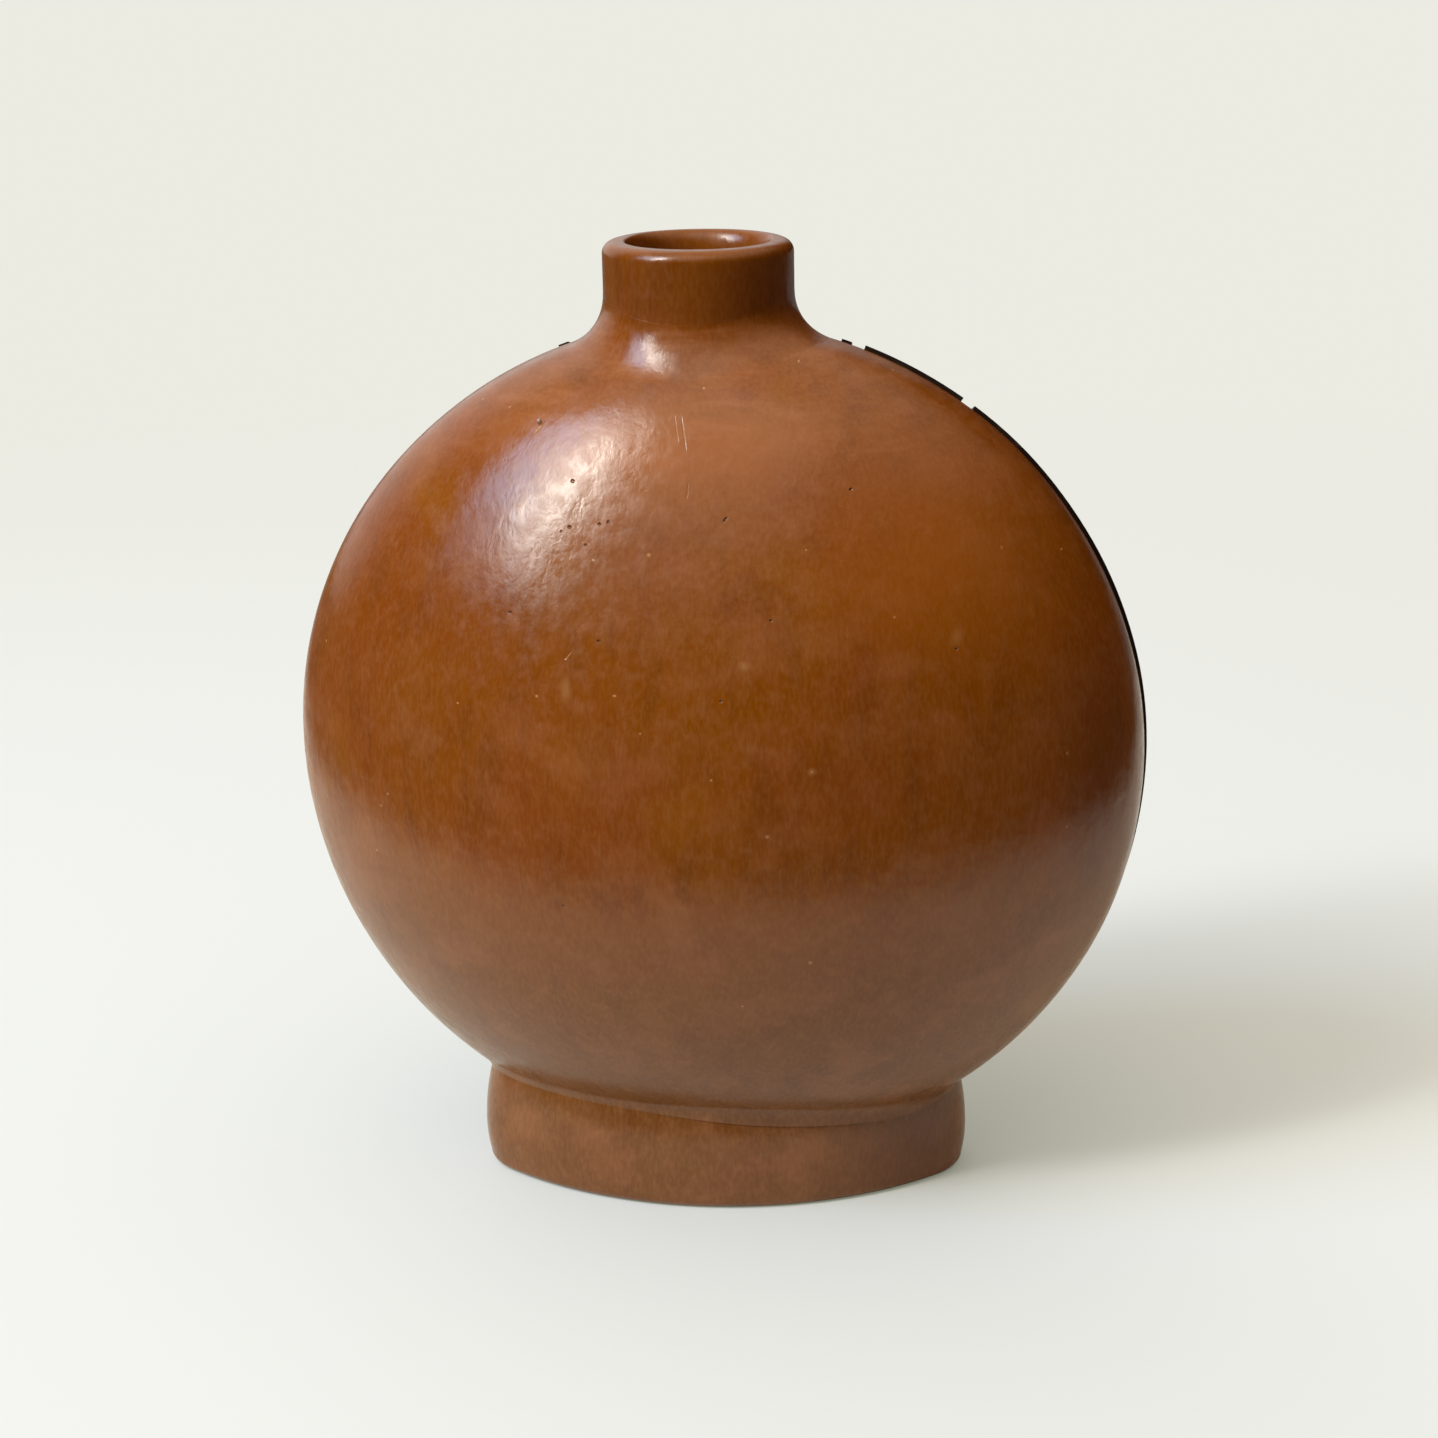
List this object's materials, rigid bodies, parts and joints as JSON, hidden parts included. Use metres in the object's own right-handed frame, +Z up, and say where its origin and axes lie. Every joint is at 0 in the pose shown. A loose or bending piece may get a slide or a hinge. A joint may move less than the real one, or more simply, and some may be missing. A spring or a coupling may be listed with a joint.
{
  "type": "pilgrim flask",
  "caption": "Round, flattened clay flask on an oval foot ring, with a short straight neck, an open mouth and a raised black border on its back.",
  "frame": {"origin": "on the table, under the middle of the body's box", "axes": "+Z up through the neck, -Y to the front, X along the body's width"},
  "size_m": [0.207, 0.124, 0.2318],
  "materials": {
    "body_clay": "burnished, satin",
    "neck_clay": "burnished, glossy",
    "foot_clay": "burnished, satin",
    "raw_clay": "matt, as smoothed by hand",
    "black_slip": "burnished, satin"
  },
  "bodies": {
    "root": {"front_shell": "body_clay", "back_shell": "body_clay", "seam_coil": "raw_clay", "neck_tube": "neck_clay", "neck_collar": "neck_clay", "lip_coil": "neck_clay", "foot_ring": "foot_clay", "foot_outer_coil": "foot_clay", "foot_inner_coil": "raw_clay", "relief_right": "black_slip", "relief_upper_right": "black_slip", "relief_neck_right": "black_slip", "relief_neck_left": "black_slip", "relief_left": "black_slip", "relief_lower_left": "black_slip", "relief_lower_right": "black_slip"}
  },
  "joints": []
}
